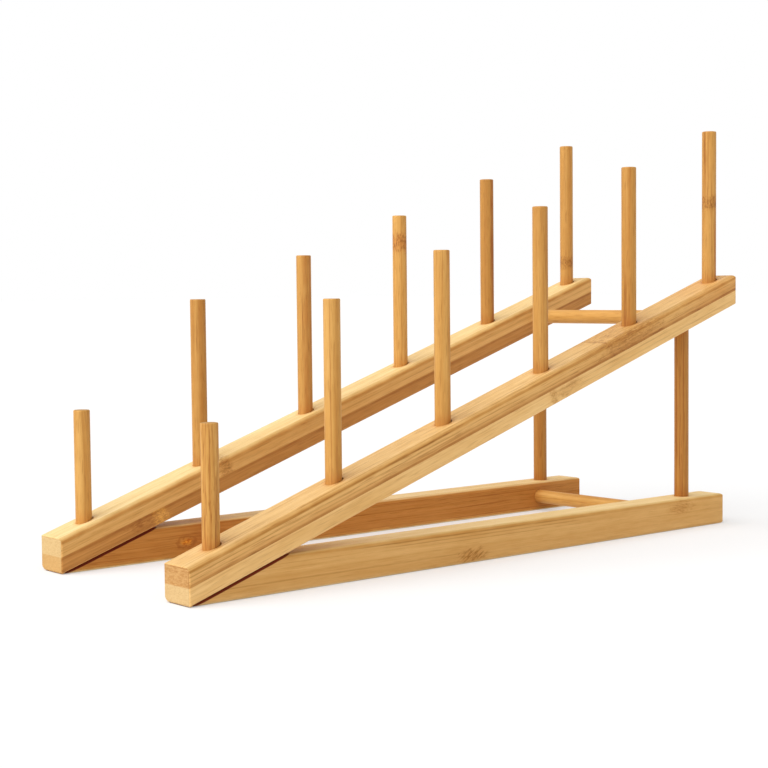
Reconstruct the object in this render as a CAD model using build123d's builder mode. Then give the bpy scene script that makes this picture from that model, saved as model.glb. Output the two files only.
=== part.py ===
from build123d import *
import math
import os

# Plate rack: two bamboo side frames with upright pegs, tied together by two round crossbars.
# X runs from the low front end (negative) to the high back end, Y across the rack, Z up.
# The origin is on the ground, halfway along the sloped rails and midway between the frames.
# Right and left are as seen from the low end, looking up the slope.

# Side frames
slope_angle = 18.5
rail_width = 20.0
upper_ply_depth = 8.5
lower_ply_depth = 7.5
base_width = 18.0
base_height = 17.0
base_setback = 10.0
clear_gap = 90.0
nose_trim = 1.0
nose_radius = 1.5
upper_right_radius = 3.0
upper_left_radius = 1.5
lower_right_radius = 1.0
lower_left_radius = 4.5
base_edge_radius = 2.0
end_radius = 1.0
back_radius = 2.0
glue_gap = 0.6
glue_inset = 0.2

# Pegs
peg_dia = 8.0
peg_count = 6
peg_pitch = 68.0
first_peg = 18.0
last_overhang = 12.0
tall_standing = 84.0
short_standing = 54.0
peg_seat = 10.0
peg_play = 0.7
peg_wall_gap = 0.05

# Posts and crossbars
post_dia = 8.0
post_step = 10.0
post_base_seat = 9.0
post_rail_seat = 6.0
bar_dia = 8.0
bar_seat = 10.0
dowel_clearance = 0.1
dowel_end_radius = 0.5

# Values that follow from the sizes above
rack_length = first_peg + (peg_count - 1) * peg_pitch + last_overhang
front_x = -rack_length / 2
back_x = rack_length / 2
tip_x = front_x - nose_trim
base_back_x = back_x - base_setback
frame_offset = (clear_gap + rail_width) / 2
rail_depth = upper_ply_depth + lower_ply_depth
rise = math.tan(math.radians(slope_angle))
cosine = math.cos(math.radians(slope_angle))
sine = math.sin(math.radians(slope_angle))
rack_height = rack_length * rise + rail_depth / cosine + tall_standing
peg_places = [front_x + first_peg + index * peg_pitch for index in range(peg_count)]
bar_x = (peg_places[-2] + peg_places[-1]) / 2
post_x = bar_x + post_step


def underside(x):
    """Height of the sloped rail's lower face above the ground at x."""
    return (x - tip_x) * rise


def rail_top(x):
    """Height of the sloped rail's upper face above the ground at x."""
    return underside(x) + rail_depth / cosine


def mitre_x(z):
    """Place along X where the base rail's mitred face reaches the height z."""
    return tip_x + (z + glue_gap / cosine) / rise


upper_bar_z = underside(bar_x) + rail_depth / cosine / 2
lower_bar_z = base_height / 2
upper_bar_reach = frame_offset - rail_width / 2 + bar_seat
lower_bar_reach = frame_offset - base_width / 2 + bar_seat

# The plane where the two plies meet, its normal pointing up out of the slope
ply_plane = Plane(
    origin=(tip_x, 0, lower_ply_depth / cosine), x_dir=(cosine, 0, sine), z_dir=(-sine, 0, cosine)
)

# Side outline that trims both rails of a frame to an upright front with a rounded nose
with BuildSketch() as nose_outline:
    with Locations((front_x, 0)):
        Rectangle(rack_length, rack_height, align=(Align.MIN, Align.MIN))
    fillet(nose_outline.vertices().group_by(Axis.X)[0].sort_by(Axis.Y)[0], radius=nose_radius)

os.makedirs("parts", exist_ok=True)

for side, frame_y in (("right", -frame_offset), ("left", frame_offset)):
    side_plane = Plane.XZ.offset(-frame_y)
    section_plane = Plane(
        origin=(tip_x, frame_y, rail_depth / cosine / 2), x_dir=(0, 1, 0), z_dir=(cosine, 0, sine)
    )

    # Laminated sloped rail before it is parted into its plies, with its blind dowel holes;
    # both frames use the same moulding, so its four edge radii aren't mirrored
    with BuildPart() as sloped_rail:
        with BuildSketch(section_plane) as rail_section:
            Rectangle(rail_width, rail_depth)
            for row, column, radius in (
                (0, 0, lower_right_radius),
                (0, -1, lower_left_radius),
                (-1, 0, upper_right_radius),
                (-1, -1, upper_left_radius),
            ):
                row_corners = rail_section.vertices().group_by(Axis.Y)[row]
                fillet(row_corners.sort_by(Axis.X)[column], radius=radius)
        extrude(amount=(rack_length + nose_trim) / cosine + rail_depth, both=True)
        with BuildSketch(side_plane) as rail_side:
            Polygon(
                (front_x, underside(front_x)),
                (back_x, underside(back_x)),
                (back_x, rail_top(back_x)),
                (front_x, rail_top(front_x)),
                align=None,
            )
            fillet(rail_side.vertices().group_by(Axis.X)[-1], radius=back_radius)
            fillet(rail_side.vertices().group_by(Axis.X)[0].sort_by(Axis.Y)[-1], radius=end_radius)
            add(nose_outline.sketch, mode=Mode.INTERSECT)
        extrude(amount=rail_width, both=True, mode=Mode.INTERSECT)
        with BuildSketch():
            with Locations((0, frame_y)):
                RectangleRounded(rack_length, rail_width, end_radius)
        extrude(amount=rack_height, mode=Mode.INTERSECT)

        # Peg holes stand upright; each is a little too wide, to the uphill side of its peg
        for peg_x in peg_places:
            with BuildSketch(Plane.XY.offset(rail_top(peg_x) - peg_seat)):
                with Locations((peg_x + peg_play / 2 - peg_wall_gap, frame_y)):
                    Circle((peg_dia + peg_play) / 2)
            extrude(amount=peg_seat + rail_depth, mode=Mode.SUBTRACT)

        # Post hole, drilled straight up into the lower face
        with BuildSketch(Plane.XY.offset(underside(post_x) + post_rail_seat)):
            with Locations((post_x, frame_y)):
                Circle(post_dia / 2 + dowel_clearance)
        extrude(amount=-(post_rail_seat + rail_depth), mode=Mode.SUBTRACT)

        # Crossbar hole, drilled level into the inner face at mid depth
        with BuildSketch(Plane.XZ):
            with Locations((bar_x, upper_bar_z)):
                Circle(bar_dia / 2 + dowel_clearance)
        extrude(amount=upper_bar_reach, both=True, mode=Mode.SUBTRACT)

    with BuildPart() as upper_ply:
        add(sloped_rail.part)
        split(bisect_by=ply_plane, keep=Keep.TOP)
    upper_ply.part.label = f"{side}_upper_ply"
    export_step(upper_ply.part, f"parts/{side}_upper_ply.step")

    with BuildPart() as lower_ply:
        add(sloped_rail.part)
        split(bisect_by=ply_plane, keep=Keep.BOTTOM)
    lower_ply.part.label = f"{side}_lower_ply"
    export_step(lower_ply.part, f"parts/{side}_lower_ply.step")

    # Base rail, flat on the ground and mitred to a wedge under the sloped rail
    with BuildPart() as base_rail:
        with BuildSketch(Plane.YZ.offset(front_x)):
            with Locations((frame_y, base_height / 2)):
                RectangleRounded(base_width, base_height, base_edge_radius)
        extrude(amount=rack_length)
        with BuildSketch(side_plane) as base_side:
            Polygon(
                (mitre_x(0), 0),
                (base_back_x, 0),
                (base_back_x, base_height),
                (mitre_x(base_height), base_height),
                align=None,
            )
            fillet(base_side.vertices().group_by(Axis.X)[-1], radius=back_radius)
            add(nose_outline.sketch, mode=Mode.INTERSECT)
        extrude(amount=rail_width, both=True, mode=Mode.INTERSECT)
        with BuildSketch():
            with Locations((front_x, frame_y)):
                RectangleRounded(
                    base_back_x - front_x, base_width, end_radius, align=(Align.MIN, Align.CENTER)
                )
        extrude(amount=rack_height, mode=Mode.INTERSECT)

        # Post hole, drilled straight down into the upper face
        with BuildSketch(Plane.XY.offset(base_height - post_base_seat)):
            with Locations((post_x, frame_y)):
                Circle(post_dia / 2 + dowel_clearance)
        extrude(amount=post_base_seat, mode=Mode.SUBTRACT)

        # Crossbar hole, drilled level into the inner face
        with BuildSketch(Plane.XZ):
            with Locations((bar_x, lower_bar_z)):
                Circle(bar_dia / 2 + dowel_clearance)
        extrude(amount=lower_bar_reach, both=True, mode=Mode.SUBTRACT)
    base_rail.part.label = f"{side}_base_rail"
    export_step(base_rail.part, f"parts/{side}_base_rail.step")

    # Dark adhesive line that fills the mitre, held back from the outer faces
    glue_top = base_height - glue_inset
    with BuildPart() as glue_line:
        with BuildSketch(side_plane):
            Polygon(
                (mitre_x(0), 0),
                (mitre_x(glue_top), glue_top),
                (mitre_x(glue_top), glue_top + glue_gap / cosine),
                (mitre_x(0), glue_gap / cosine),
                align=None,
            )
            offset(nose_outline.sketch, amount=-glue_inset, mode=Mode.INTERSECT)
        extrude(amount=base_width / 2 - glue_inset, both=True)
    glue_line.part.label = f"{side}_glue_line"
    export_step(glue_line.part, f"parts/{side}_glue_line.step")

    # Upright post between the base rail and the sloped rail, seated in both
    post_bottom = base_height - post_base_seat
    with BuildPart() as post:
        with BuildSketch(Plane.XY.offset(post_bottom)):
            with Locations((post_x, frame_y)):
                Circle(post_dia / 2)
        extrude(amount=underside(post_x) + post_rail_seat - post_bottom)
        fillet(post.edges().filter_by(GeomType.CIRCLE), radius=dowel_end_radius)
    post.part.label = f"{side}_post"
    export_step(post.part, f"parts/{side}_post.step")

    # Upright pegs, the first one short
    for number, peg_x in enumerate(peg_places, start=1):
        standing = short_standing if number == 1 else tall_standing
        with BuildPart() as peg:
            with BuildSketch(Plane.XY.offset(rail_top(peg_x) - peg_seat)):
                with Locations((peg_x, frame_y)):
                    Circle(peg_dia / 2)
            extrude(amount=peg_seat + standing)
            fillet(peg.edges().filter_by(GeomType.CIRCLE), radius=dowel_end_radius)
        peg.part.label = f"{side}_peg_{number}"
        export_step(peg.part, f"parts/{side}_peg_{number}.step")

# Crossbars, the upper one between the sloped rails and the lower one between the base rails
for level, bar_z, bar_reach in (
    ("upper", upper_bar_z, upper_bar_reach),
    ("lower", lower_bar_z, lower_bar_reach),
):
    with BuildPart() as crossbar:
        with BuildSketch(Plane.XZ):
            with Locations((bar_x, bar_z)):
                Circle(bar_dia / 2)
        extrude(amount=bar_reach, both=True)
        fillet(crossbar.edges().filter_by(GeomType.CIRCLE), radius=dowel_end_radius)
    crossbar.part.label = f"{level}_crossbar"
    export_step(crossbar.part, f"parts/{level}_crossbar.step")
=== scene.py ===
import math
import bpy
from mathutils import Matrix, Vector


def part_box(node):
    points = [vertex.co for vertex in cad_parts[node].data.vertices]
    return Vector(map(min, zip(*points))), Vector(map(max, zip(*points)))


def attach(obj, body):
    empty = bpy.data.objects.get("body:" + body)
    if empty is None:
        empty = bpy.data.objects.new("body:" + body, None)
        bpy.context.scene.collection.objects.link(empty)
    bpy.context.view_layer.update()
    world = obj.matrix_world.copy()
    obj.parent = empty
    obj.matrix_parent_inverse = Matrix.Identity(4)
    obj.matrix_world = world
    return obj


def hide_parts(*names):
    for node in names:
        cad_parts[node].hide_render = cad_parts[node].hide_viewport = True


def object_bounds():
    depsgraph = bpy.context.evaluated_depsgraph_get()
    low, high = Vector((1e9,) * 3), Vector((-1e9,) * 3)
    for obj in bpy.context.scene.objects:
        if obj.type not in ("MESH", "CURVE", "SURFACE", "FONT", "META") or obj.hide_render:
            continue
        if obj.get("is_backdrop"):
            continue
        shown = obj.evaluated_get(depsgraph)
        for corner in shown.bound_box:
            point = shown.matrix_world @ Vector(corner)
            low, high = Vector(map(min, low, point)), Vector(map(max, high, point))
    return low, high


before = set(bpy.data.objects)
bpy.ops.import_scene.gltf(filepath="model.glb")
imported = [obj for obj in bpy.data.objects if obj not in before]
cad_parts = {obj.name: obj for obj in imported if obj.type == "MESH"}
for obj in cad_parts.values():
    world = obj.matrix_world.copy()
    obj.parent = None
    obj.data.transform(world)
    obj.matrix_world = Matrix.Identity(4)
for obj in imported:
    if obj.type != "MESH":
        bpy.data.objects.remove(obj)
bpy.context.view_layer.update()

# Bamboo plate rack: two laminated side frames with upright pegs, two posts and two crossbars.
# Shapes, bump depths and the glue's pattern are in metres in the CAD frame; the patterns on the
# wood are in millimetres.

scene = bpy.context.scene
perMetre = 1000.0  # millimetres in a metre
slope = math.radians(18.5)  # lean of the laminated rails
tipX = -186.0  # where the underside of those rails would meet the ground
frameY = 55.0  # from the middle of the rack to the middle of a frame
slopedHalf, baseHalf = (10.0, 8.0), (9.0, 8.5)  # half the width and depth of the rails' sections
floatSocket, vectorSocket = "NodeSocketFloat", "NodeSocketVector"


# Node helpers

def setInput(tree, socket, value):
    if isinstance(value, bpy.types.NodeSocket):
        tree.links.new(value, socket)
    else:
        socket.default_value = value


def addNode(tree, kind, inputs=None, **settings):
    node = tree.nodes.new(kind)
    for name, value in settings.items():
        setattr(node, name, value)
    for name, value in (inputs or {}).items():
        setInput(tree, node.inputs[name], value)
    return node


def calc(tree, operation, *values, clamp=False):
    inputs = dict(enumerate(values))
    return addNode(tree, "ShaderNodeMath", inputs, operation=operation, use_clamp=clamp).outputs[0]


def vecCalc(tree, operation, *values):
    node = addNode(tree, "ShaderNodeVectorMath", dict(enumerate(values)), operation=operation)
    return node.outputs["Value" if operation in ("LENGTH", "DOT_PRODUCT") else "Vector"]


def vecScale(tree, vector, amount):
    inputs = {"Vector": vector, "Scale": amount}
    return addNode(tree, "ShaderNodeVectorMath", inputs, operation="SCALE").outputs[0]


def combine(tree, x, y, z):
    return addNode(tree, "ShaderNodeCombineXYZ", {0: x, 1: y, 2: z}).outputs[0]


def separate(tree, vector):
    return addNode(tree, "ShaderNodeSeparateXYZ", {0: vector}).outputs


def remap(tree, value, fromMin, fromMax, toMin=0.0, toMax=1.0, smooth=False):
    inputs = {"Value": value, "From Min": fromMin, "From Max": fromMax, "To Min": toMin, "To Max": toMax}
    kind = "SMOOTHSTEP" if smooth else "LINEAR"
    return addNode(tree, "ShaderNodeMapRange", inputs, interpolation_type=kind).outputs["Result"]


def noise(tree, vector, scale=1.0, detail=2.0, roughness=0.5, output="Fac"):
    inputs = {"Vector": vector, "Scale": scale, "Detail": detail, "Roughness": roughness}
    return addNode(tree, "ShaderNodeTexNoise", inputs).outputs[output]


def mixColour(tree, factor, a, b, blend="MIX"):
    node = addNode(tree, "ShaderNodeMix", data_type="RGBA", blend_type=blend)
    for index, value in ((0, factor), (6, a), (7, b)):
        setInput(tree, node.inputs[index], (*value, 1.0) if isinstance(value, tuple) else value)
    return node.outputs[2]


def tinted(tree, colour, mask, strength, tint):
    # multiplies a colour by a tint where the mask is
    return mixColour(tree, calc(tree, "MULTIPLY", mask, strength), colour, tint, "MULTIPLY")


def newGroup(name, kind, inputs, outputs):
    tree = bpy.data.node_groups.new(name, kind)
    for socketName, socketType, value in inputs:
        socket = tree.interface.new_socket(name=socketName, in_out="INPUT", socket_type=socketType)
        if value is not None:
            socket.default_value = value
    for socketName, socketType in outputs:
        tree.interface.new_socket(name=socketName, in_out="OUTPUT", socket_type=socketType)
    return tree, tree.nodes.new("NodeGroupInput").outputs, tree.nodes.new("NodeGroupOutput").inputs


def useGroup(tree, group, values):
    return addNode(tree, "ShaderNodeGroup", values, node_tree=group).outputs


# Effects that the bamboo materials share; every vector is in mm with the grain along x

def buildGrain():
    # Fibres, soft bands, long dark streaks, short dashes, a mottle and a slow drift of tone
    seedSteps = (137.0, 31.7, 57.3)  # mm from one seed's pattern to the next
    waveScale, knotScale = (0.02, 0.12, 0.12), (0.2, 0.35, 0.35)  # how fine each noise is, per mm
    mottleScale, driftScale = (0.07, 0.4, 0.4), (0.011, 0.05, 0.05)
    swayReach, pushReach = 4.0, 6.0  # mm that the fibres move over at a wander or a swirl of 1
    middle = (0.5, 0.5, 0.5)  # of a noise's colour
    tree, given, result = newGroup("bambooGrain", "ShaderNodeTree", [
        ("Vector", vectorSocket, None), ("Fibre Width", floatSocket, 0.5),
        ("Fibre Length", floatSocket, 70.0), ("Band Width", floatSocket, 2.4),
        ("Wander", floatSocket, 0.3), ("Swirl", floatSocket, 0.0), ("Seed", floatSocket, 0.0)],
        [(name, floatSocket) for name in ("Fibre", "Band", "Streak", "Dash", "Mottle", "Drift")])
    steps = [calc(tree, "MULTIPLY", given["Seed"], step) for step in seedSteps]
    seeded = vecCalc(tree, "ADD", given["Vector"], combine(tree, *steps))
    waves = noise(tree, vecCalc(tree, "MULTIPLY", seeded, waveScale), detail=1.0, output="Color")
    sway = calc(tree, "MULTIPLY", given["Wander"], swayReach)
    bend = vecCalc(tree, "MULTIPLY", vecCalc(tree, "SUBTRACT", waves, middle),
                   combine(tree, 0.0, sway, sway))
    # a growth ring or knot pushes the fibres aside
    knotted = noise(tree, vecCalc(tree, "MULTIPLY", seeded, knotScale), output="Color")
    push = vecScale(tree, vecCalc(tree, "SUBTRACT", knotted, middle),
                    calc(tree, "MULTIPLY", given["Swirl"], pushReach))
    path = vecCalc(tree, "ADD", vecCalc(tree, "ADD", seeded, bend), push)

    def streaks(width, length, detail, roughness=0.5):
        size = combine(tree, length, width, width)
        return noise(tree, vecCalc(tree, "DIVIDE", path, size), 1.0, detail, roughness)

    width, length = given["Fibre Width"], given["Fibre Length"]
    tree.links.new(remap(tree, streaks(width, length, 3.0, 0.6), 0.3, 0.7), result["Fibre"])
    band = streaks(given["Band Width"], calc(tree, "MULTIPLY", length, 3.0), 2.0)
    tree.links.new(remap(tree, band, 0.32, 0.68, smooth=True), result["Band"])
    streak = streaks(calc(tree, "MULTIPLY", width, 1.7), calc(tree, "MULTIPLY", length, 2.0), 1.0)
    tree.links.new(remap(tree, streak, 0.55, 0.72, smooth=True), result["Streak"])
    dash = streaks(calc(tree, "MULTIPLY", width, 0.6), calc(tree, "MULTIPLY", length, 0.2), 1.0)
    tree.links.new(remap(tree, dash, 0.57, 0.7, smooth=True), result["Dash"])
    mottle = noise(tree, vecCalc(tree, "MULTIPLY", path, mottleScale), detail=4.0, roughness=0.6)
    tree.links.new(remap(tree, mottle, 0.35, 0.65), result["Mottle"])
    drift = noise(tree, vecCalc(tree, "MULTIPLY", seeded, driftScale))
    tree.links.new(remap(tree, drift, 0.35, 0.65, smooth=True), result["Drift"])
    return tree


def buildGrowth():
    # Growth ring of the cane or a knot: its ragged area, its flecks, its heart and the arcs round it
    borderScale, fleckScale = (0.3, 0.55, 0.55), 1.1  # how fine the ragged border and flecks are, per mm
    tear, arcAt = 1.5, 0.85  # how deep the border is torn and where the arcs run, in reaches
    tree, given, result = newGroup("growthMark", "ShaderNodeTree", [
        ("Vector", vectorSocket, None), ("Place", vectorSocket, (0, 0, 0)),
        ("Reach", vectorSocket, (5, 50, 50)), ("Ragged", floatSocket, 1.0),
        ("Fleck Length", floatSocket, 2.0), ("Slant", floatSocket, 0.0)],
        [(name, floatSocket) for name in ("Mask", "Fleck", "Heart", "Arc")])
    offset = vecCalc(tree, "SUBTRACT", given["Vector"], given["Place"])
    distance = vecCalc(tree, "LENGTH", vecCalc(tree, "DIVIDE", offset, given["Reach"]))
    rough = noise(tree, vecCalc(tree, "MULTIPLY", given["Vector"], borderScale), detail=3.0)
    rough = calc(tree, "MULTIPLY", calc(tree, "SUBTRACT", rough, 0.5), given["Ragged"])
    reach = calc(tree, "MULTIPLY_ADD", rough, tear, distance)
    mask = remap(tree, reach, 0.25, 1.0, 1.0, 0.0, smooth=True)
    tree.links.new(mask, result["Mask"])
    x, y, z = separate(tree, given["Vector"])
    rise = calc(tree, "MULTIPLY", x, given["Slant"])  # the flecks rise this much along the grain
    x, z = calc(tree, "DIVIDE", x, given["Fleck Length"]), calc(tree, "SUBTRACT", z, rise)
    torn = combine(tree, x, calc(tree, "MULTIPLY", y, fleckScale), calc(tree, "MULTIPLY", z, fleckScale))
    fleck = noise(tree, torn, 1.0, 2.0, 0.7)
    tree.links.new(calc(tree, "MULTIPLY", mask, remap(tree, fleck, 0.45, 0.6)), result["Fleck"])
    tree.links.new(remap(tree, reach, 0.2, 0.6, 1.0, 0.0, smooth=True), result["Heart"])
    away = calc(tree, "ABSOLUTE", calc(tree, "SUBTRACT", reach, arcAt))
    tree.links.new(remap(tree, away, 0.05, 0.22, 1.0, 0.0, smooth=True), result["Arc"])
    return tree


def buildLine():
    # One grain line or soft band where the vector meets a plane, wavering and fading along x
    fade = 10.0  # half the length over which it starts or stops
    waverScale, patchScale = 0.02, 0.07  # how often it wavers and thins out, per mm
    tree, given, result = newGroup("grainLine", "ShaderNodeTree", [
        ("Vector", vectorSocket, None), ("Place", vectorSocket, (0, 0, 0)),
        ("Facing", vectorSocket, (0, 0, 1)), ("Width", floatSocket, 0.4), ("Waver", floatSocket, 0.5),
        ("From", floatSocket, -300.0), ("To", floatSocket, 500.0)], [("Mask", floatSocket)])
    x = separate(tree, given["Vector"])[0]
    height = separate(tree, given["Place"])[2]
    waver = noise(tree, combine(tree, calc(tree, "MULTIPLY", x, waverScale), 0.0, height), detail=2.0)
    waver = calc(tree, "MULTIPLY", calc(tree, "SUBTRACT", waver, 0.5), given["Waver"])
    offset = vecCalc(tree, "SUBTRACT", given["Vector"], given["Place"])
    away = calc(tree, "ADD", vecCalc(tree, "DOT_PRODUCT", offset, given["Facing"]), waver)
    away = calc(tree, "DIVIDE", calc(tree, "ABSOLUTE", away), given["Width"])
    mask = remap(tree, away, 0.1, 1.0, 1.0, 0.0, smooth=True)
    starts = remap(tree, calc(tree, "SUBTRACT", x, given["From"]), -fade, fade, smooth=True)
    stops = remap(tree, calc(tree, "SUBTRACT", given["To"], x), -fade, fade, smooth=True)
    patchy = noise(tree, combine(tree, calc(tree, "MULTIPLY", x, patchScale), height, 0.0))
    patchy = remap(tree, patchy, 0.3, 0.6, 0.45, 1.0)
    length = calc(tree, "MULTIPLY", starts, stops)
    tree.links.new(calc(tree, "MULTIPLY", calc(tree, "MULTIPLY", mask, patchy), length), result["Mask"])
    return tree


def buildFaces():
    # Tells how each face of a piece was cut, from its normal turned into grain axes
    tree, given, result = newGroup("cutFaces", "ShaderNodeTree", [("Turn", vectorSocket, (0, 0, 0))],
                                   [("End", floatSocket), ("Flat", floatSocket)])
    normal = addNode(tree, "ShaderNodeNewGeometry").outputs["Normal"]
    turned = addNode(tree, "ShaderNodeVectorRotate", {"Vector": normal, "Rotation": given["Turn"]},
                     rotation_type="EULER_XYZ")
    parts = separate(tree, vecCalc(tree, "ABSOLUTE", turned.outputs[0]))
    tree.links.new(remap(tree, parts[0], 0.72, 0.88, smooth=True), result["End"])
    tree.links.new(remap(tree, parts[2], 0.45, 0.9, smooth=True), result["Flat"])
    return tree


def buildEndGrain():
    # Cut ends of the fibre bundles as small specks, and saw marks across them
    speckShape, sawScale = (0.15, 1.0, 1.0), (0.1, 0.35, 1.6)  # specks run inwards, marks lie flat
    cloudScale = 0.5  # how fine the patches with fewer specks are, per mm
    tree, given, result = newGroup("endGrain", "ShaderNodeTree", [
        ("Vector", vectorSocket, None), ("Speck Size", floatSocket, 0.8)],
        [("Speck", floatSocket), ("Saw", floatSocket)])
    flat = vecCalc(tree, "MULTIPLY", given["Vector"], speckShape)
    inputs = {"Vector": vecScale(tree, flat, calc(tree, "DIVIDE", 1.0, given["Speck Size"])), "Scale": 1.0}
    cell = addNode(tree, "ShaderNodeTexVoronoi", inputs)
    speck = remap(tree, cell.outputs["Distance"], 0.14, 0.5, 1.0, 0.0, smooth=True)
    cloud = remap(tree, noise(tree, flat, cloudScale), 0.3, 0.65, 0.25, 1.0)
    tree.links.new(calc(tree, "MULTIPLY", speck, cloud), result["Speck"])
    saw = noise(tree, vecCalc(tree, "MULTIPLY", given["Vector"], sawScale), 1.0, 3.0, 0.6)
    tree.links.new(remap(tree, saw, 0.4, 0.65), result["Saw"])
    return tree


def buildEdges():
    # Nearness to the long edges, and to the outline, of a bar whose section is centred on the vector
    tree, given, result = newGroup("easedEdges", "ShaderNodeTree", [
        ("Vector", vectorSocket, None), ("Half Width", floatSocket, 10.0),
        ("Half Depth", floatSocket, 8.0), ("Reach", floatSocket, 1.2)],
        [("Edge", floatSocket), ("Rim", floatSocket)])
    parts = separate(tree, vecCalc(tree, "ABSOLUTE", given["Vector"]))
    side = calc(tree, "SUBTRACT", given["Half Width"], parts[1])
    top = calc(tree, "SUBTRACT", given["Half Depth"], parts[2])
    for name, operation in (("Edge", "MAXIMUM"), ("Rim", "MINIMUM")):
        near = calc(tree, "DIVIDE", calc(tree, operation, side, top), given["Reach"])
        tree.links.new(remap(tree, near, 0.0, 1.0, 1.0, 0.0, smooth=True), result[name])
    return tree


def buildFootShadeAndDust():
    # Ring of painted contact shade, partly oil and dust, round the base of each dowel in a row, on the
    # upper face only
    tree, given, result = newGroup("dowelFootShadeAndDust", "ShaderNodeTree", [
        ("Vector", vectorSocket, None), ("First", floatSocket, 0.0), ("Pitch", floatSocket, 70.0),
        ("Radius", floatSocket, 4.0), ("Reach", floatSocket, 3.0), ("Above", floatSocket, 6.0)],
        [("Mask", floatSocket)])
    parts = separate(tree, given["Vector"])
    half = calc(tree, "MULTIPLY", given["Pitch"], 0.5)
    along = calc(tree, "SUBTRACT", parts[0], given["First"])
    along = calc(tree, "WRAP", along, half, calc(tree, "MULTIPLY", half, -1.0))
    away = vecCalc(tree, "LENGTH", combine(tree, along, parts[1], 0.0))
    away = calc(tree, "DIVIDE", calc(tree, "SUBTRACT", away, given["Radius"]), given["Reach"])
    ring = remap(tree, away, 0.0, 1.0, 1.0, 0.0, smooth=True)
    tree.links.new(calc(tree, "MULTIPLY", ring, calc(tree, "GREATER_THAN", parts[2], given["Above"])),
                   result["Mask"])
    return tree


grainGroup, growthGroup, lineGroup, facesGroup = buildGrain(), buildGrowth(), buildLine(), buildFaces()
endGroup, edgeGroup, footShadeAndDustGroup = buildEndGrain(), buildEdges(), buildFootShadeAndDust()
print("shared effects built")


# Bamboo

layAlong = {"sloped": (0, slope, 0), "level": (0, 0, 0), "upright": (0, math.radians(90), 0),
            "across": (0, 0, math.radians(-90))}  # how each piece is turned to lay its grain along x
cane = {
    "fibreWidth": 0.55, "fibreLength": 60.0, "bandWidth": 2.6, "wander": 0.25,
    "drift": (0.6, (0.92, 0.86, 0.74)),  # each pair is how much, and what the tone is multiplied by
    "mottle": (0.6, (0.90, 0.84, 0.72)),
    "band": (0.5, (0.84, 0.75, 0.58)),
    "fibre": (0.55, (0.78, 0.67, 0.48)),
    "streak": (0.45, (0.68, 0.56, 0.37)),
    "dash": (0.5, (0.62, 0.50, 0.33)),
    "skin": (0.0, (0.80, 0.68, 0.50)), "skinFrom": 8.0, "skinTo": 0.0,
    "speck": (0.5, (0.72, 0.58, 0.44)), "speckSize": 0.8,
    "saw": (0.4, (0.82, 0.70, 0.56)),
    "rim": (0.3, (0.50, 0.34, 0.22)),
    "worn": 0.1, "wornTone": (0.86, 0.62, 0.30), "wornReach": 1.1,
    "roughness": 0.48, "fibreRough": 0.12, "endRough": 0.2, "specular": 0.3,
    "bump": 0.35, "bumpDepth": 0.0002, "fibreRelief": -0.6, "dashRelief": -0.5, "swirlRelief": 0.8,
}


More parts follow.
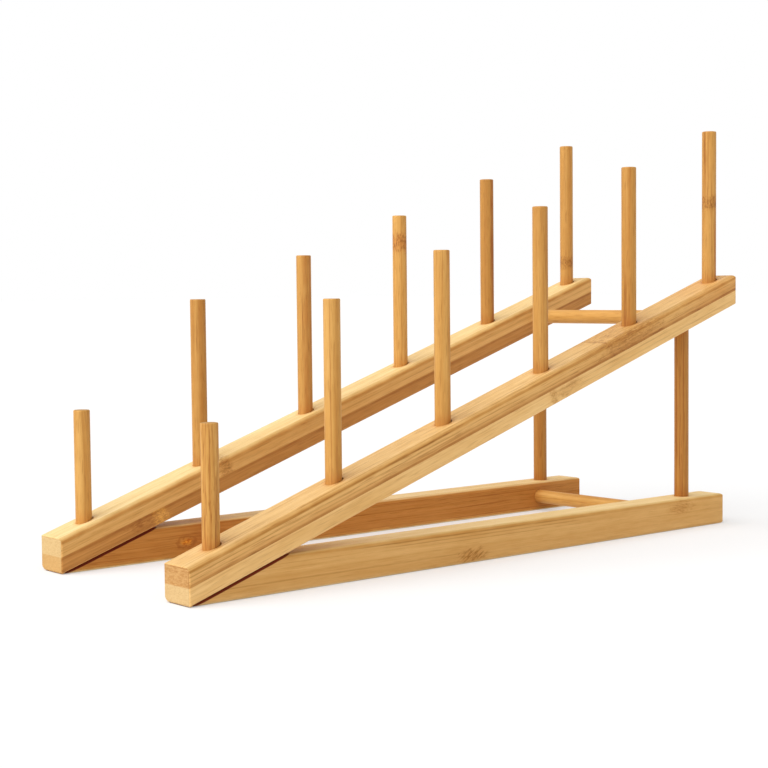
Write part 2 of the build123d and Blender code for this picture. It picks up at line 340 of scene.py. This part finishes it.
def makeBamboo(name, look):
    # "turn" and "shift" lay the piece's grain along x with its section centred, in mm
    material = bpy.data.materials.new(name)
    material.use_nodes = True
    tree = material.node_tree
    shader = tree.nodes["Principled BSDF"]
    laid = addNode(tree, "ShaderNodeMapping", {
        "Vector": addNode(tree, "ShaderNodeTexCoord").outputs["Object"], "Location": look["shift"],
        "Rotation": look["turn"], "Scale": (perMetre, perMetre, perMetre)}).outputs[0]
    height = separate(tree, laid)[2]
    swirl, marks = 0.0, []
    for spot in look.get("marks", []):
        mark = useGroup(tree, growthGroup, {
            "Vector": laid, "Place": spot["place"], "Reach": spot["reach"], "Ragged": spot["ragged"],
            "Fleck Length": spot.get("fleckLength", 2.0), "Slant": spot.get("slant", 0.0)})
        swirl = calc(tree, "MULTIPLY_ADD", mark["Mask"], spot["swirl"], swirl)
        marks.append((mark, spot))
    grain = useGroup(tree, grainGroup, {
        "Vector": laid, "Fibre Width": look["fibreWidth"], "Fibre Length": look["fibreLength"],
        "Band Width": look["bandWidth"], "Wander": look["wander"], "Swirl": swirl, "Seed": look["seed"]})
    faces = useGroup(tree, facesGroup, {"Turn": look["turn"]})

    # the sides and the flat faces of a strip differ in tone, and fibres crowd towards the skin
    colour = mixColour(tree, faces["Flat"], look["side"], look.get("flat", look["side"]))
    skin = remap(tree, height, look["skinFrom"], look["skinTo"])
    colour = tinted(tree, colour, skin, *look["skin"])
    for key in ("drift", "mottle", "band", "fibre", "streak", "dash"):
        colour = tinted(tree, colour, grain[key.title()], *look[key])
    for line in look.get("lines", []):
        mask = useGroup(tree, lineGroup, {
            "Vector": laid, "Place": line["place"], "Facing": line.get("facing", (0, 0, 1)),
            "Width": line["width"], "Waver": line.get("waver", 0.5),
            "From": line.get("start", -300.0), "To": line.get("stop", 500.0)})["Mask"]
        colour = tinted(tree, colour, mask, *line["tint"])
    for mark, spot in marks:
        for key in ("Mask", "Fleck", "Heart", "Arc"):
            if key.lower() in spot:
                colour = tinted(tree, colour, mark[key], *spot[key.lower()])
    # painted contact shade, partly oil and dust, in a ring round each dowel's base
    if "footShadeAndDust" in look:
        holeShadeAndDust = look["footShadeAndDust"]
        mask = useGroup(tree, footShadeAndDustGroup, {"Vector": laid, "First": holeShadeAndDust["first"], "Pitch": holeShadeAndDust["pitch"],
                                          "Reach": holeShadeAndDust["reach"], "Above": holeShadeAndDust["above"]})["Mask"]
        colour = tinted(tree, colour, mask, *holeShadeAndDust["tint"])
    for start, stop, amount, tint in look.get("joints", []):  # painted contact shade, partly dirt, on a dowel by its hole
        mask = remap(tree, separate(tree, laid)[0], start, stop, 1.0, 0.0, smooth=True)
        colour = tinted(tree, colour, mask, amount, tint)

    # sawn ends show the bundles as specks
    cut = useGroup(tree, endGroup, {"Vector": laid, "Speck Size": look["speckSize"]})
    endColour = tinted(tree, look["end"], cut["Speck"], *look["speck"])
    endColour = tinted(tree, endColour, cut["Saw"], *look["saw"])
    if "section" in look:  # handled edges of a squared bar, and the outline of its sawn end
        halfWidth, halfDepth = look["section"]
        edges = useGroup(tree, edgeGroup, {"Vector": laid, "Half Width": halfWidth,
                                           "Half Depth": halfDepth, "Reach": look["wornReach"]})
        endColour = tinted(tree, endColour, edges["Rim"], *look["rim"])
        worn = calc(tree, "MULTIPLY", edges["Edge"], look["worn"])
        colour = mixColour(tree, worn, colour, look["wornTone"])
    colour = mixColour(tree, faces["End"], colour, endColour)
    tree.links.new(colour, shader.inputs["Base Color"])

    shader.inputs["Specular IOR Level"].default_value = look["specular"]
    rough = calc(tree, "MULTIPLY_ADD", grain["Fibre"], look["fibreRough"], look["roughness"])
    rough = calc(tree, "MULTIPLY_ADD", faces["End"], look["endRough"], rough, clamp=True)
    tree.links.new(rough, shader.inputs["Roughness"])
    relief = calc(tree, "MULTIPLY", grain["Dash"], look["dashRelief"])
    relief = calc(tree, "MULTIPLY_ADD", grain["Fibre"], look["fibreRelief"], relief)
    relief = calc(tree, "MULTIPLY_ADD", swirl, look["swirlRelief"], relief)
    inputs = {"Height": relief, "Strength": look["bump"], "Distance": look["bumpDepth"]}
    tree.links.new(addNode(tree, "ShaderNodeBump", inputs).outputs["Normal"], shader.inputs["Normal"])
    return material


def dress(name, look):
    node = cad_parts[name]
    node.data.materials.clear()
    node.data.materials.append(makeBamboo(name.replace("_", " ").title().replace(" ", ""), look))


# Sloped rails: along the grain x runs from the tip, z from -8 underneath to 8 on top, joint at -0.5.
# Across the grain y runs from -10 on the side towards the rack's right to 10 on the other.

def ring(along, height, width, swirl=0.8, **extra):
    # a growth ring crosses the whole strip
    return {"place": (along, 0, height), "reach": (width, 60, 60), "swirl": swirl, "ragged": 1.0,
            "mask": (0.5, (0.76, 0.64, 0.46)), "fleck": (0.8, (0.56, 0.43, 0.28)), **extra}


def tornFibres(along, height, length, depth, **extra):
    # short dark fibres on one side of a growth ring
    return {"place": (along, 0, height), "reach": (length, 60, depth), "swirl": 0.6, "ragged": 0.8,
            "fleckLength": 5.0, "mask": (0.4, (0.84, 0.74, 0.58)),
            "fleck": (0.8, (0.62, 0.48, 0.31)), **extra}


def grainLine(height, width, amount, tint=(0.62, 0.52, 0.34), **extra):
    return {"place": (0, 0, height), "width": width, "tint": (amount, tint), **extra}


def edgeLine(across, height, width, amount, tint, **extra):
    # follows the rounded long edge that lies nearest to a point of a rail's section
    diagonal = 0.7
    facing = (0, -math.copysign(diagonal, across), -math.copysign(diagonal, height))
    return {"place": (0, across, height), "facing": facing, "width": width, "tint": (amount, tint), **extra}


def stretch(start, stop, amount, tint):
    # a length of the strip whose whole tone differs
    return {"place": ((start + stop) / 2, 0, 0), "facing": (1, 0, 0), "width": (stop - start) / 2,
            "waver": 0.0, "tint": (amount, tint)}


sloped = {**cane, "turn": layAlong["sloped"], "section": slopedHalf,
          # the ring round each dowel's base is painted contact shade, partly oil and dust
          "footShadeAndDust": {"first": 25.4, "pitch": 71.7, "reach": 2.8, "above": 6.5,
                   "tint": (0.55, (0.86, 0.62, 0.38))}}
rightShift, leftShift = [
    (-tipX * math.cos(slope), side * frameY, tipX * math.sin(slope) - slopedHalf[1]) for side in (1, -1)]
rightUpperPly = {
    **sloped, "shift": rightShift, "seed": 1.0,
    "side": (0.90, 0.56, 0.215), "flat": (0.88, 0.60, 0.27), "end": (0.60, 0.34, 0.12),
    "skin": (0.85, (0.78, 0.64, 0.46)), "skinFrom": 4.0, "skinTo": -0.5,
    "streak": (0.7, (0.66, 0.53, 0.34)), "dash": (0.7, (0.60, 0.47, 0.30)),
    "saw": (0.9, (0.76, 0.60, 0.42)), "rim": (0.9, (0.56, 0.38, 0.20)),
    "marks": [ring(284, 4, 3, mask=(0.3, (0.80, 0.68, 0.48)), fleck=(0.5, (0.66, 0.54, 0.36))),
              tornFibres(302, 3, 36, 9, fleckLength=9.0, fleck=(0.7, (0.66, 0.54, 0.36))),
              ring(283, 8, 1.2, reach=(1.2, 60, 5), mask=(0.5, (0.66, 0.52, 0.34)),
                   fleck=(0.3, (0.7, 0.56, 0.38)))],
    "lines": [stretch(255, 345, 0.6, (0.84, 0.72, 0.54)), stretch(335, 425, 0.7, (0.90, 0.74, 0.54)),
              grainLine(0.2, 1.1, 0.8, (0.62, 0.48, 0.30)), grainLine(2.2, 0.5, 0.5),
              grainLine(3.9, 0.45, 0.8, stop=170), grainLine(6.0, 1.0, 0.95, (0.60, 0.48, 0.26), stop=160),
              grainLine(6.0, 0.8, 0.7, (0.66, 0.53, 0.32), start=150),
              edgeLine(-9.1, 7.1, 0.7, 0.6, (0.72, 0.60, 0.38))],
}
rightLowerPly = {
    **sloped, "shift": rightShift, "seed": 2.0,
    "side": (0.92, 0.60, 0.25), "flat": (0.88, 0.56, 0.23), "end": (0.67, 0.46, 0.21),
    "band": (0.4, (0.88, 0.80, 0.66)), "fibre": (0.45, (0.84, 0.75, 0.58)),
    "streak": (0.3, (0.78, 0.66, 0.48)),
    "marks": [ring(236, -4, 3.5, fleck=(0.5, (0.66, 0.54, 0.36))),
              tornFibres(248, -4, 14, 5, fleckLength=8.0, fleck=(0.5, (0.70, 0.56, 0.38)))],
    "lines": [grainLine(-2.4, 0.5, 0.6, start=238, stop=330),
              grainLine(-5.0, 0.4, 0.5, start=248, stop=390)],
}
leftUpperPly = {
    **sloped, "shift": leftShift, "seed": 3.0,
    "side": (0.84, 0.49, 0.17), "flat": (0.98, 0.74, 0.37), "end": (0.68, 0.47, 0.21),
    "skin": (0.3, (0.88, 0.78, 0.62)), "skinFrom": 5.0, "skinTo": -0.5,
    "fibre": (0.4, (0.82, 0.72, 0.54)), "streak": (0.25, (0.76, 0.64, 0.46)),
    "marks": [ring(105, 5, 5, fleck=(0.7, (0.58, 0.44, 0.26)))],
    "lines": [stretch(-40, 95, 0.45, (1.03, 1.14, 1.3)), grainLine(5.8, 1.3, 0.75, (0.70, 0.58, 0.38)),
              grainLine(2.6, 0.7, 0.4), grainLine(0.6, 0.8, 0.6, (1.14, 1.26, 1.45)),
              edgeLine(-9.1, 7.1, 0.9, 0.75, (0.74, 0.62, 0.42))],
}
leftLowerPly = {
    **sloped, "shift": leftShift, "seed": 4.0,
    "side": (0.61, 0.29, 0.073), "flat": (0.60, 0.28, 0.07), "end": (0.62, 0.37, 0.13),
    "marks": [ring(61, -4, 6, fleck=(1.0, (1.45, 1.7, 1.7)), mask=(0.6, (1.2, 1.25, 1.2))),
              tornFibres(50, -3, 12, 5)],
    "lines": [stretch(-40, 45, 0.35, (1.10, 1.18, 1.28)),
              grainLine(-1.4, 1.0, 0.75, (0.70, 0.54, 0.36)),
              grainLine(-3.6, 0.8, 0.4, (1.25, 1.35, 1.5), stop=60), grainLine(-6.4, 0.8, 0.4),
              grainLine(-7.7, 0.5, 0.8, (1.35, 1.5, 1.8), stop=60)],
}
for name, look in (("right_upper_ply", rightUpperPly), ("right_lower_ply", rightLowerPly),
                   ("left_upper_ply", leftUpperPly), ("left_lower_ply", leftLowerPly)):
    dress(name, look)

# Base rails: x is the rack's own, y from -9 to 9, z from -8.5 on the ground to 8.5 on top

def mitreLine(below, width, amount, tint):
    # runs along the mitre at a distance below the sloped rail, to just past the end of the wedge
    start = (tipX + below * math.sin(slope), 0, -baseHalf[1] - below * math.cos(slope))
    return {"place": start, "facing": (-math.sin(slope), 0, math.cos(slope)), "width": width,
            "waver": 0.0, "stop": -118, "tint": (amount, tint)}


mitre = mitreLine(0.9, 0.9, 2.2, (0.22, 0.04, 0.0))  # an amount above 1 makes its borders sharp
level = {**cane, "turn": layAlong["level"], "section": baseHalf, "specular": 0.12,
         # the ring round the post's base is painted contact shade, partly oil and dust
         "footShadeAndDust": {"first": 149.0, "pitch": 600.0, "reach": 2.8, "above": 7.0,
                  "tint": (0.55, (0.86, 0.62, 0.38))}}
rightBaseRail = {
    **level, "shift": (0, frameY, -baseHalf[1]), "seed": 5.0,
    # the pale flat tone is partly painted light, raised to make up for the sloped rail's shade on the upper
    # face
    "side": (0.80, 0.485, 0.183), "flat": (0.98, 0.78, 0.42), "end": (0.62, 0.38, 0.14),
    "fibre": (0.35, (0.82, 0.72, 0.55)), "streak": (0.2, (0.74, 0.62, 0.44)),
    "dash": (0.25, (0.70, 0.58, 0.40)),
    "marks": [tornFibres(-20, -4.5, 13, 5, slant=0.6, fleck=(0.9, (0.56, 0.42, 0.26))),
              tornFibres(138, 4.0, 15, 4.5, slant=-0.25, fleck=(0.6, (0.66, 0.52, 0.35)))],
    "lines": [mitre, grainLine(6.6, 0.5, 0.7, start=-90, stop=60),
              grainLine(5.0, 0.45, 0.6, start=-70, stop=50),
              grainLine(3.4, 0.4, 0.45, start=-50, stop=60),
              grainLine(-3.0, 0.5, 0.4, stop=-30),
              edgeLine(-8.4, 7.9, 1.1, 0.7, (0.80, 0.70, 0.52))],
}
leftBaseRail = {
    **level, "shift": (0, -frameY, -baseHalf[1]), "seed": 6.0,
    # the pale flat tone is partly painted light, raised to make up for the sloped rail's shade on the upper
    # face
    "side": (0.63, 0.285, 0.07), "flat": (1.0, 0.77, 0.40), "end": (0.52, 0.28, 0.10),
    "fibre": (0.5, (0.80, 0.66, 0.48)), "streak": (0.6, (0.66, 0.48, 0.32)),
    "marks": [{"place": (-114, -9, -0.4), "reach": (6.5, 6, 3.4), "swirl": 1.2, "ragged": 0.55,
               "heart": (1.0, (1.5, 1.5, 0.8)), "fleck": (0.8, (0.62, 0.34, 0.20)),
               "arc": (0.35, (0.60, 0.38, 0.22))}],
    # the darker stretch from -125 to -75 is painted shade under the sloped rail
    "lines": [mitre, stretch(-125, -75, 0.7, (0.80, 0.60, 0.44)), grainLine(-7.0, 1.6, 0.4),
              grainLine(2.2, 0.5, 0.3), grainLine(5.4, 0.5, 0.3),
              # this light line along the lower rounded edge is a painted highlight, the floor's reflection
              edgeLine(-8.6, -7.8, 1.2, 0.9, (1.5, 1.9, 2.5), waver=0.0)],
}
for name, look in (("right_base_rail", rightBaseRail), ("left_base_rail", leftBaseRail)):
    dress(name, look)
print("rails dressed")


# Dried glue in the mitres

glueLook = {"deep": (0.11, 0.018, 0.003), "thin": (0.15, 0.03, 0.006), "patch": 220.0,
            "roughness": 0.8, "patchRough": 0.2, "specular": 0.0, "bump": 0.4, "bumpDepth": 0.0003,
            "nose": (0.74, 0.50, 0.22), "noseFrom": -0.1824, "noseEnd": -0.1832}  # wood dust at the front


def makeGlue():
    material = bpy.data.materials.new("DriedGlue")
    material.use_nodes = True
    tree = material.node_tree
    shader = tree.nodes["Principled BSDF"]
    place = addNode(tree, "ShaderNodeTexCoord").outputs["Object"]
    patches = noise(tree, place, glueLook["patch"], 3.0)
    colour = mixColour(tree, remap(tree, patches, 0.35, 0.65), glueLook["deep"], glueLook["thin"])
    nose = remap(tree, separate(tree, place)[0], glueLook["noseFrom"], glueLook["noseEnd"])
    tree.links.new(mixColour(tree, nose, colour, glueLook["nose"]), shader.inputs["Base Color"])
    rough = calc(tree, "MULTIPLY_ADD", patches, glueLook["patchRough"], glueLook["roughness"])
    tree.links.new(rough, shader.inputs["Roughness"])
    shader.inputs["Specular IOR Level"].default_value = glueLook["specular"]
    inputs = {"Height": patches, "Strength": glueLook["bump"], "Distance": glueLook["bumpDepth"]}
    tree.links.new(addNode(tree, "ShaderNodeBump", inputs).outputs["Normal"], shader.inputs["Normal"])
    return material


glueMaterial = makeGlue()
for name in ("right_glue_line", "left_glue_line"):
    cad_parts[name].data.materials.clear()
    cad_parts[name].data.materials.append(glueMaterial)
print("glue laid")


# Dowels

def buildDowel():
    # A round stick from a rolled-up grid: eased ends, a slightly uneven turned surface, closed poles
    lumpsAlong, lumpScale, seamGap = 28.0, 1.6, 0.000005
    tree, given, result = newGroup("turnedDowel", "GeometryNodeTree", [
        ("Geometry", "NodeSocketGeometry", None), ("Start", vectorSocket, (0, 0, 0)),
        ("Turn", vectorSocket, (0, 0, 0)), ("Length", floatSocket, 0.1), ("Radius", floatSocket, 0.004),
        ("End Easing", floatSocket, 0.0006), ("Unevenness", floatSocket, 0.00008),
        ("Seed", "NodeSocketInt", 0), ("Rows", "NodeSocketInt", 48), ("Around", "NodeSocketInt", 48),
        ("Material", "NodeSocketMaterial", None)], [("Geometry", "NodeSocketGeometry")])
    grid = addNode(tree, "GeometryNodeMeshGrid", {
        "Size X": 1.0, "Size Y": 1.0, "Vertices X": calc(tree, "ADD", given["Around"], 1.0),
        "Vertices Y": given["Rows"]})
    place = separate(tree, addNode(tree, "GeometryNodeInputPosition").outputs[0])
    angle = calc(tree, "MULTIPLY", place[0], 2 * math.pi)
    lastRow = calc(tree, "SUBTRACT", given["Rows"], 1.0)
    row = calc(tree, "MULTIPLY", calc(tree, "ADD", place[1], 0.5), lastRow)
    share = calc(tree, "DIVIDE", calc(tree, "SUBTRACT", row, 1.0), calc(tree, "SUBTRACT", lastRow, 2.0),
                 clamp=True)
    # rows crowd towards the ends, so that the easing stays round
    share = calc(tree, "COSINE", calc(tree, "MULTIPLY", share, math.pi))
    share = calc(tree, "MULTIPLY_ADD", share, -0.5, 0.5)
    height = calc(tree, "MULTIPLY", share, given["Length"])
    fromEnd = calc(tree, "MINIMUM", height, calc(tree, "SUBTRACT", given["Length"], height))
    easing = given["End Easing"]
    short = calc(tree, "DIVIDE", calc(tree, "SUBTRACT", easing, fromEnd), easing, clamp=True)
    arc = calc(tree, "SQRT", calc(tree, "SUBTRACT", 1.0, calc(tree, "MULTIPLY", short, short)))
    drawnIn = calc(tree, "MULTIPLY", calc(tree, "SUBTRACT", 1.0, arc), easing)
    around = combine(tree, calc(tree, "COSINE", angle), calc(tree, "SINE", angle),
                     calc(tree, "MULTIPLY", height, lumpsAlong))
    inputs = {"Vector": around, "W": given["Seed"], "Scale": lumpScale, "Detail": 2.0}
    wobble = addNode(tree, "ShaderNodeTexNoise", inputs, noise_dimensions="4D").outputs["Fac"]
    drawnIn = calc(tree, "MULTIPLY_ADD", wobble, given["Unevenness"], drawnIn)
    inside = calc(tree, "MULTIPLY", calc(tree, "GREATER_THAN", row, 0.5),
                  calc(tree, "LESS_THAN", row, calc(tree, "SUBTRACT", lastRow, 0.5)))
    radius = calc(tree, "MULTIPLY", calc(tree, "SUBTRACT", given["Radius"], drawnIn), inside)
    rolled = combine(tree, calc(tree, "MULTIPLY", radius, calc(tree, "COSINE", angle)),
                     calc(tree, "MULTIPLY", radius, calc(tree, "SINE", angle)), height)
    shape = addNode(tree, "GeometryNodeSetPosition", {"Geometry": grid.outputs["Mesh"], "Position": rolled})
    inputs = {"Geometry": shape.outputs[0], "Distance": seamGap}
    shape = addNode(tree, "GeometryNodeMergeByDistance", inputs)
    shape = addNode(tree, "GeometryNodeTransform", {
        "Geometry": shape.outputs[0], "Translation": given["Start"], "Rotation": given["Turn"]})
    shape = addNode(tree, "GeometryNodeSetShadeSmooth", {"Geometry": shape.outputs[0]})
    shape = addNode(tree, "GeometryNodeRealizeInstances", {"Geometry": shape.outputs[0]})
    shape = addNode(tree, "GeometryNodeSetMaterial", {
        "Geometry": shape.outputs[0], "Material": given["Material"]})
    tree.links.new(shape.outputs[0], result["Geometry"])
    return tree


def fromNodes(name, tree, values):
    # Runs a geometry tree once and keeps its result as a plain mesh
    maker = bpy.data.objects.new(name + "Maker", bpy.data.meshes.new(name + "Maker"))
    scene.collection.objects.link(maker)
    modifier = maker.modifiers.new("nodes", "NODES")
    modifier.node_group = tree
    for item in tree.interface.items_tree:
        if item.item_type == "SOCKET" and item.in_out == "INPUT" and item.name in values:
            modifier[item.identifier] = values[item.name]
    maker.update_tag()
    bpy.context.view_layer.update()
    mesh = bpy.data.meshes.new_from_object(maker.evaluated_get(bpy.context.evaluated_depsgraph_get()))
    maker.modifiers.clear()
    bpy.data.objects.remove(maker)
    piece = bpy.data.objects.new(name, mesh)
    scene.collection.objects.link(piece)
    return piece


def stripe(across, width, amount, tint, **extra):
    # runs up a dowel at a distance across it, from -4 on the camera's left to 4 on its right
    y, z = -0.64, -0.77  # the camera's right in the grain's axes
    return {"place": (0, y * across, z * across), "facing": (0, y, z), "width": width,
            "waver": 1.2, "tint": (amount, tint), **extra}


brown, russet, orange = (0.66, 0.50, 0.31), (0.74, 0.50, 0.30), (0.86, 0.68, 0.45)
paleCane, deepCane = (0.90, 0.54, 0.165), (0.47, 0.20, 0.03)
dowelCane = {**cane, "fibreWidth": 0.7, "fibreLength": 50.0, "wander": 0.4, "bandWidth": 3.2,
             "fibre": (0.4, (0.80, 0.68, 0.48)), "streak": (0.35, (0.70, 0.54, 0.34)),
             "end": (0.50, 0.28, 0.085), "easing": 0.0005, "unevenness": 0.00008,
             "seat": 10.0, "postTopSeat": 6.0}
holeShadeReach, holeShadeAndDust = 7.0, (0.4, (0.84, 0.60, 0.40))  # how far and how much painted contact shade, partly dirt, darkens a dowel by its hole
firstSeed = 7.0  # the rails have the seeds before it
dowels = {  # "deep" runs from 0, the palest cane, to 1
    "right_peg_1": {"deep": 0.36, "wander": 1.6, "fibre": (0.6, (0.76, 0.62, 0.42)),
                    "streak": (0.7, (0.66, 0.50, 0.31)), "dash": (0.7, (0.64, 0.50, 0.32)),
                    "lines": [stripe(-1.8, 0.6, 0.6, brown, waver=5.0),
                              stripe(0.6, 0.7, 0.7, brown, waver=5.0),
                              stripe(2.4, 0.6, 0.5, brown, waver=5.0)]},
    "right_peg_2": {"deep": 0.42, "lines": [stripe(-2.6, 1.9, 0.3, (1.06, 1.12, 1.3)),
                                            stripe(-0.7, 0.4, 0.8, brown),
                                            stripe(2.2, 2.8, 0.6, (0.82, 0.70, 0.50))]},
    "right_peg_3": {"deep": 0.44, "lines": [stripe(0.2, 0.45, 1.0, brown, start=134, stop=148),
                                            stripe(3.0, 1.4, 0.5, orange)]},
    "right_peg_4": {"deep": 0.56, "lines": [stripe(3.0, 1.5, 0.6, (0.80, 0.64, 0.44))]},
    "right_peg_5": {"deep": 0.63, "lines": [stripe(-0.5, 1.6, 0.5, orange),
                                            stripe(3.2, 0.9, 0.6, (1.2, 1.3, 1.4)),
                                            stripe(-2.4, 1.0, 0.8, brown, stop=140)]},
    "right_peg_6": {"deep": 0.48, "marks": [ring(181, 0, 5)],
                    "lines": [stripe(-2.8, 0.8, 1.0, brown, start=186),
                              stripe(-1.4, 0.4, 0.9, brown, start=180),
                              stripe(3.0, 1.2, 0.8, russet, stop=182),
                              stripe(0.8, 0.5, 0.6, brown, stop=180)]},
    "left_peg_1": {"deep": 0.35, "lines": [stripe(2.6, 1.6, 0.5, orange)]},
    "left_peg_2": {"deep": 0.58, "lines": [stripe(1.6, 2.2, 0.6, orange),
                                           stripe(-0.3, 0.5, 1.0, brown, start=104, stop=118)]},
    "left_peg_3": {"deep": 0.47, "lines": [stripe(1.2, 2.8, 0.6, russet), stripe(3.2, 0.7, 0.7, russet),
                                          stripe(-0.6, 0.4, 0.9, brown, start=104, stop=128)]},
    "left_peg_4": {"deep": 0.22, "marks": [ring(160, 0, 7, mask=(0.7, (0.86, 0.64, 0.46)))],
                   "lines": [stripe(0.8, 0.5, 0.7, orange), stripe(2.6, 0.9, 0.5, russet, stop=112)]},
    "left_peg_5": {"deep": 0.7, "lines": [stripe(3.0, 1.6, 0.9, russet)]},
    "left_peg_6": {"deep": 0.54, "marks": [ring(150, 0, 5)], "lines": [stripe(1.8, 2.2, 0.5, orange)]},
    "right_post": {"deep": 0.82, "streak": (0.8, (0.66, 0.46, 0.28))},
    "left_post": {"deep": 0.92, "streak": (0.8, (0.66, 0.46, 0.28))},
    "upper_crossbar": {"deep": 0.36, "lines": [grainLine(1.6, 1.8, 0.5, (1.10, 1.16, 1.25))]},
    "lower_crossbar": {"deep": 0.45, "lines": [grainLine(1.8, 1.8, 0.6, (1.12, 1.25, 1.45))]},
}
dowelTree = buildDowel()
for seed, (name, extra) in enumerate(dowels.items()):
    low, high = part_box(name)
    size, centre = high - low, (low + high) / 2
    look = {**dowelCane, "seed": firstSeed + seed, **extra}
    look["side"] = tuple(p + (d - p) * look["deep"] for p, d in zip(paleCane, deepCane))
    if "crossbar" in name:
        look["turn"] = layAlong["across"]
        look["shift"] = (0, centre.x * perMetre, -centre.z * perMetre)
        length, radius = size.y, size.z / 2
        start, turn = (centre.x, low.y, centre.z), (math.radians(-90), 0, 0)
        ends = ((low.y * perMetre + look["seat"], 1), (high.y * perMetre - look["seat"], -1))
    else:
        look["turn"] = layAlong["upright"]
        look["shift"] = (0, -centre.y * perMetre, centre.x * perMetre)
        length, radius, start, turn = size.z, size.x / 2, (centre.x, centre.y, low.z), (0, 0, 0)
        ends = [(low.z * perMetre + look["seat"], 1)]
        if "post" in name:
            ends.append((high.z * perMetre - look["postTopSeat"], -1))
    # painted contact shade, partly dirt, by each hole the dowel sits in
    look["joints"] = [(place, place + way * holeShadeReach, *holeShadeAndDust) for place, way in ends]
    piece = fromNodes(name.replace("_", "") + "Dowel", dowelTree, {
        "Start": start, "Turn": turn, "Length": length, "Radius": radius, "End Easing": look["easing"],
        "Unevenness": look["unevenness"], "Seed": seed, "Material": makeBamboo(name + "Cane", look)})
    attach(piece, "root")
    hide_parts(name)
print("dowels turned")


# Floor, light and camera

stageSet = {"floorTone": (0.93, 0.93, 0.93, 1), "floorRough": 0.9, "floorReach": 30.0, "glow": 0.35,
            "skyStrength": 0.468, "keyStrength": 2.82, "keySoftness": 80.0, "keyFrom": (-0.85, 0.03, 0.95)}


def seenDirectly(tree):
    # rays that look at the background: the camera's, and those from something shiny or clear
    rays = addNode(tree, "ShaderNodeLightPath").outputs
    through = calc(tree, "MAXIMUM", rays["Is Glossy Ray"], rays["Is Transmission Ray"])
    return calc(tree, "MAXIMUM", rays["Is Camera Ray"], through)


def makeFloor():
    material = bpy.data.materials.new("PaleFloor")
    material.use_nodes = True
    tree = material.node_tree
    shader = tree.nodes["Principled BSDF"]
    shader.inputs["Base Color"].default_value = stageSet["floorTone"]
    shader.inputs["Roughness"].default_value = stageSet["floorRough"]
    shader.inputs["Specular IOR Level"].default_value = 0.0
    glow = addNode(tree, "ShaderNodeEmission", {"Color": (1, 1, 1, 1), "Strength": 1.0})
    amount = calc(tree, "MULTIPLY", seenDirectly(tree), stageSet["glow"])  # whitens it for them alone
    blend = addNode(tree, "ShaderNodeMixShader", {0: amount, 1: shader.outputs[0], 2: glow.outputs[0]})
    tree.links.new(blend.outputs[0], tree.nodes["Material Output"].inputs["Surface"])
    return material


floorMesh = bpy.data.meshes.new("floor")
reach = stageSet["floorReach"]
corners = [(x * reach, y * reach, 0) for x, y in ((-1, -1), (1, -1), (1, 1), (-1, 1))]
floorMesh.from_pydata(corners, [], [(0, 1, 2, 3)])
floor = bpy.data.objects.new("floor", floorMesh)
scene.collection.objects.link(floor)
floor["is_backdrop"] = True
floorMesh.materials.append(makeFloor())

world = bpy.data.worlds.new("studio")
scene.world = world
world.use_nodes = True
tree = world.node_tree
sky = tree.nodes["Background"]
sky.inputs["Color"].default_value = (1, 1, 1, 1)
sky.inputs["Strength"].default_value = stageSet["skyStrength"]
backdrop = addNode(tree, "ShaderNodeBackground", {"Color": (1, 1, 1, 1), "Strength": 1.0})
shares = {0: seenDirectly(tree), 1: sky.outputs[0], 2: backdrop.outputs[0]}
either = addNode(tree, "ShaderNodeMixShader", shares)
tree.links.new(either.outputs[0], tree.nodes["World Output"].inputs["Surface"])

keyLight = bpy.data.lights.new("key", "SUN")
keyLight.energy = stageSet["keyStrength"]
keyLight.angle = math.radians(stageSet["keySoftness"])
key = bpy.data.objects.new("key", keyLight)
key.rotation_euler = Vector(stageSet["keyFrom"]).to_track_quat("Z", "Y").to_euler()
scene.collection.objects.link(key)

# the camera stands low at the front, 40 degrees round to the side of the right frame
cameraSet = {"place": (-0.55265, -0.63017, 0.13265), "azimuth": -40.11, "elevation": 3.286,
             "roll": -0.565, "lens": 75.01, "sensor": 36.0, "clip": (0.01, 100.0)}
azimuth, elevation, roll = (math.radians(cameraSet[name]) for name in ("azimuth", "elevation", "roll"))
back = Vector((math.sin(azimuth) * math.cos(elevation), -math.cos(azimuth) * math.cos(elevation),
               math.sin(elevation)))
right = Vector((math.cos(azimuth), math.sin(azimuth), 0))
up = back.cross(right)
right, up = right * math.cos(roll) + up * math.sin(roll), up * math.cos(roll) - right * math.sin(roll)
lens = bpy.data.cameras.new("camera")
lens.lens, lens.sensor_width, lens.sensor_fit = cameraSet["lens"], cameraSet["sensor"], "HORIZONTAL"
lens.clip_start, lens.clip_end = cameraSet["clip"]
camera = bpy.data.objects.new("camera", lens)
aim = Matrix((right, up, back)).transposed().to_4x4()
camera.matrix_world = Matrix.Translation(cameraSet["place"]) @ aim
scene.collection.objects.link(camera)
scene.camera = camera
scene.view_settings.view_transform = "Standard"
print("stage set")

low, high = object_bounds()
